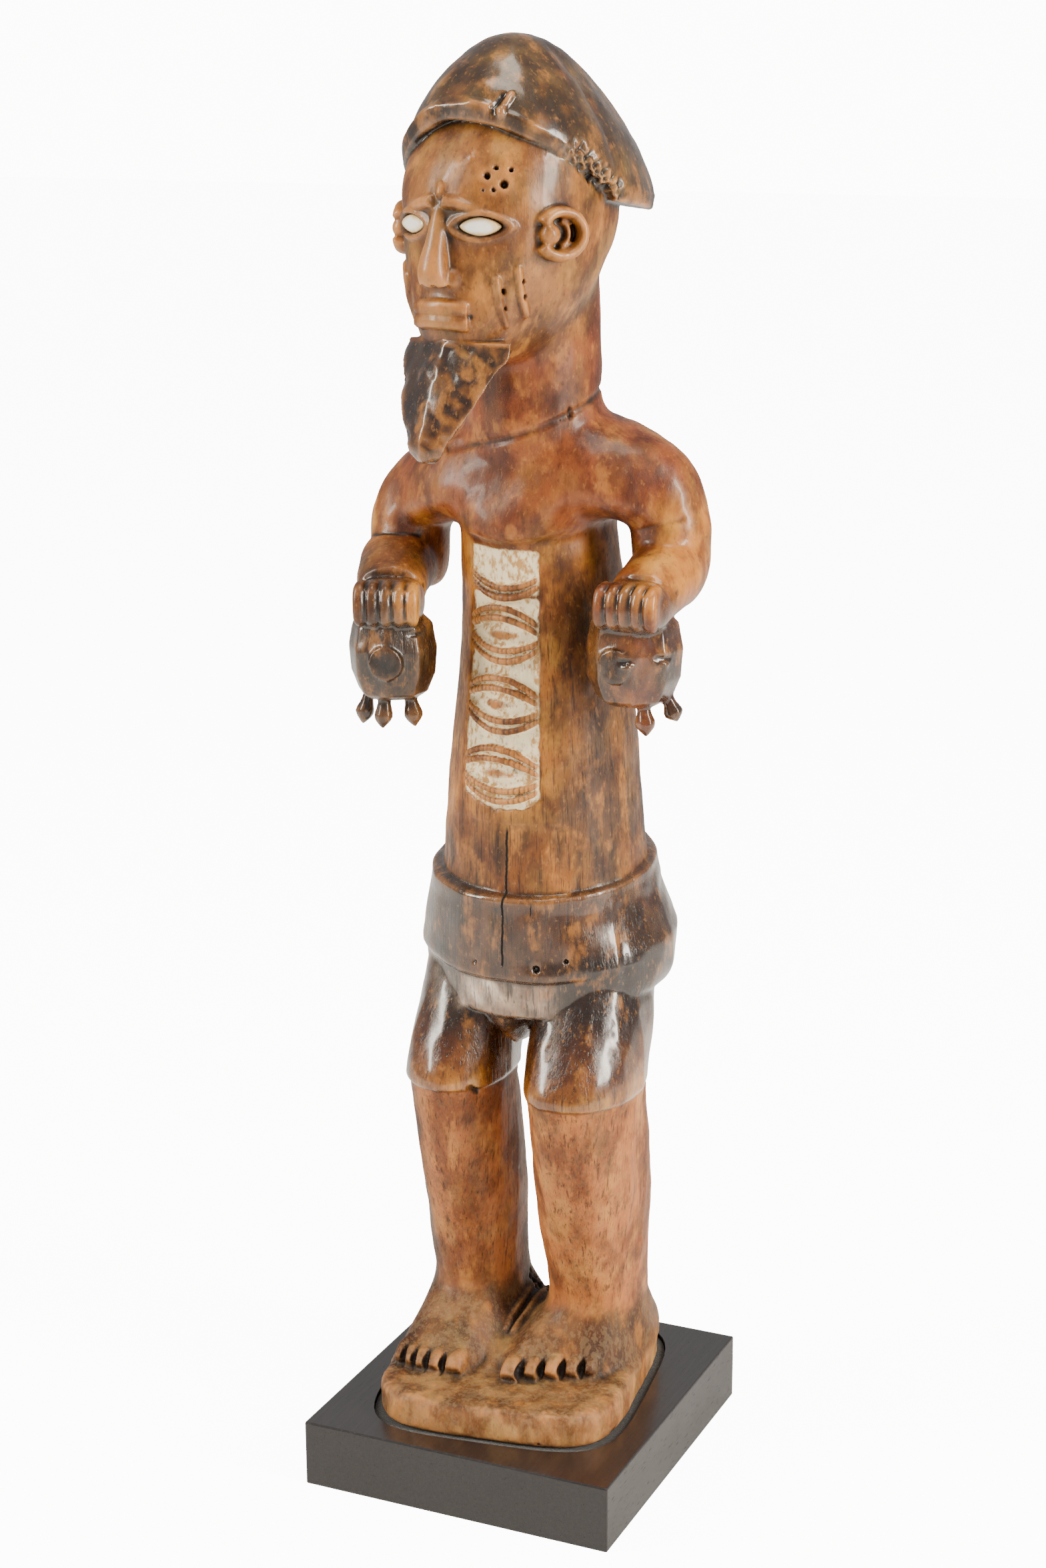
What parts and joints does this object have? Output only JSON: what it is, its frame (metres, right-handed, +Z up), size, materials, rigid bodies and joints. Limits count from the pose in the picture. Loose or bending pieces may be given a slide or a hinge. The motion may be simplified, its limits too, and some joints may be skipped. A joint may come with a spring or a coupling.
{
  "type": "carved power figure",
  "caption": "Standing carved wooden power figure with a cap-shaped coiffure, white inlaid eyes and a wedge beard, hands on small pots, on a felt-lined wooden plinth.",
  "frame": {"origin": "centre of the plinth's underside", "axes": "+Z up, -Y the way the figure faces, +X towards the figure's left hand"},
  "size_m": [0.1028, 0.1101, 0.4117],
  "materials": {
    "carved_wood": "hand-carved hardwood with a worn, oiled brown to black patina",
    "white_inlay": "glazed white inlay, as of shell or china; gloss_plastic stands in for it",
    "black_wood": "black stained and waxed open-pored wood",
    "black_felt": "black felt"
  },
  "bodies": {
    "root": {"figure": "carved_wood", "left_eye_inlay": "white_inlay", "right_eye_inlay": "white_inlay", "plinth": "black_wood", "felt_lining": "black_felt"}
  },
  "joints": []
}
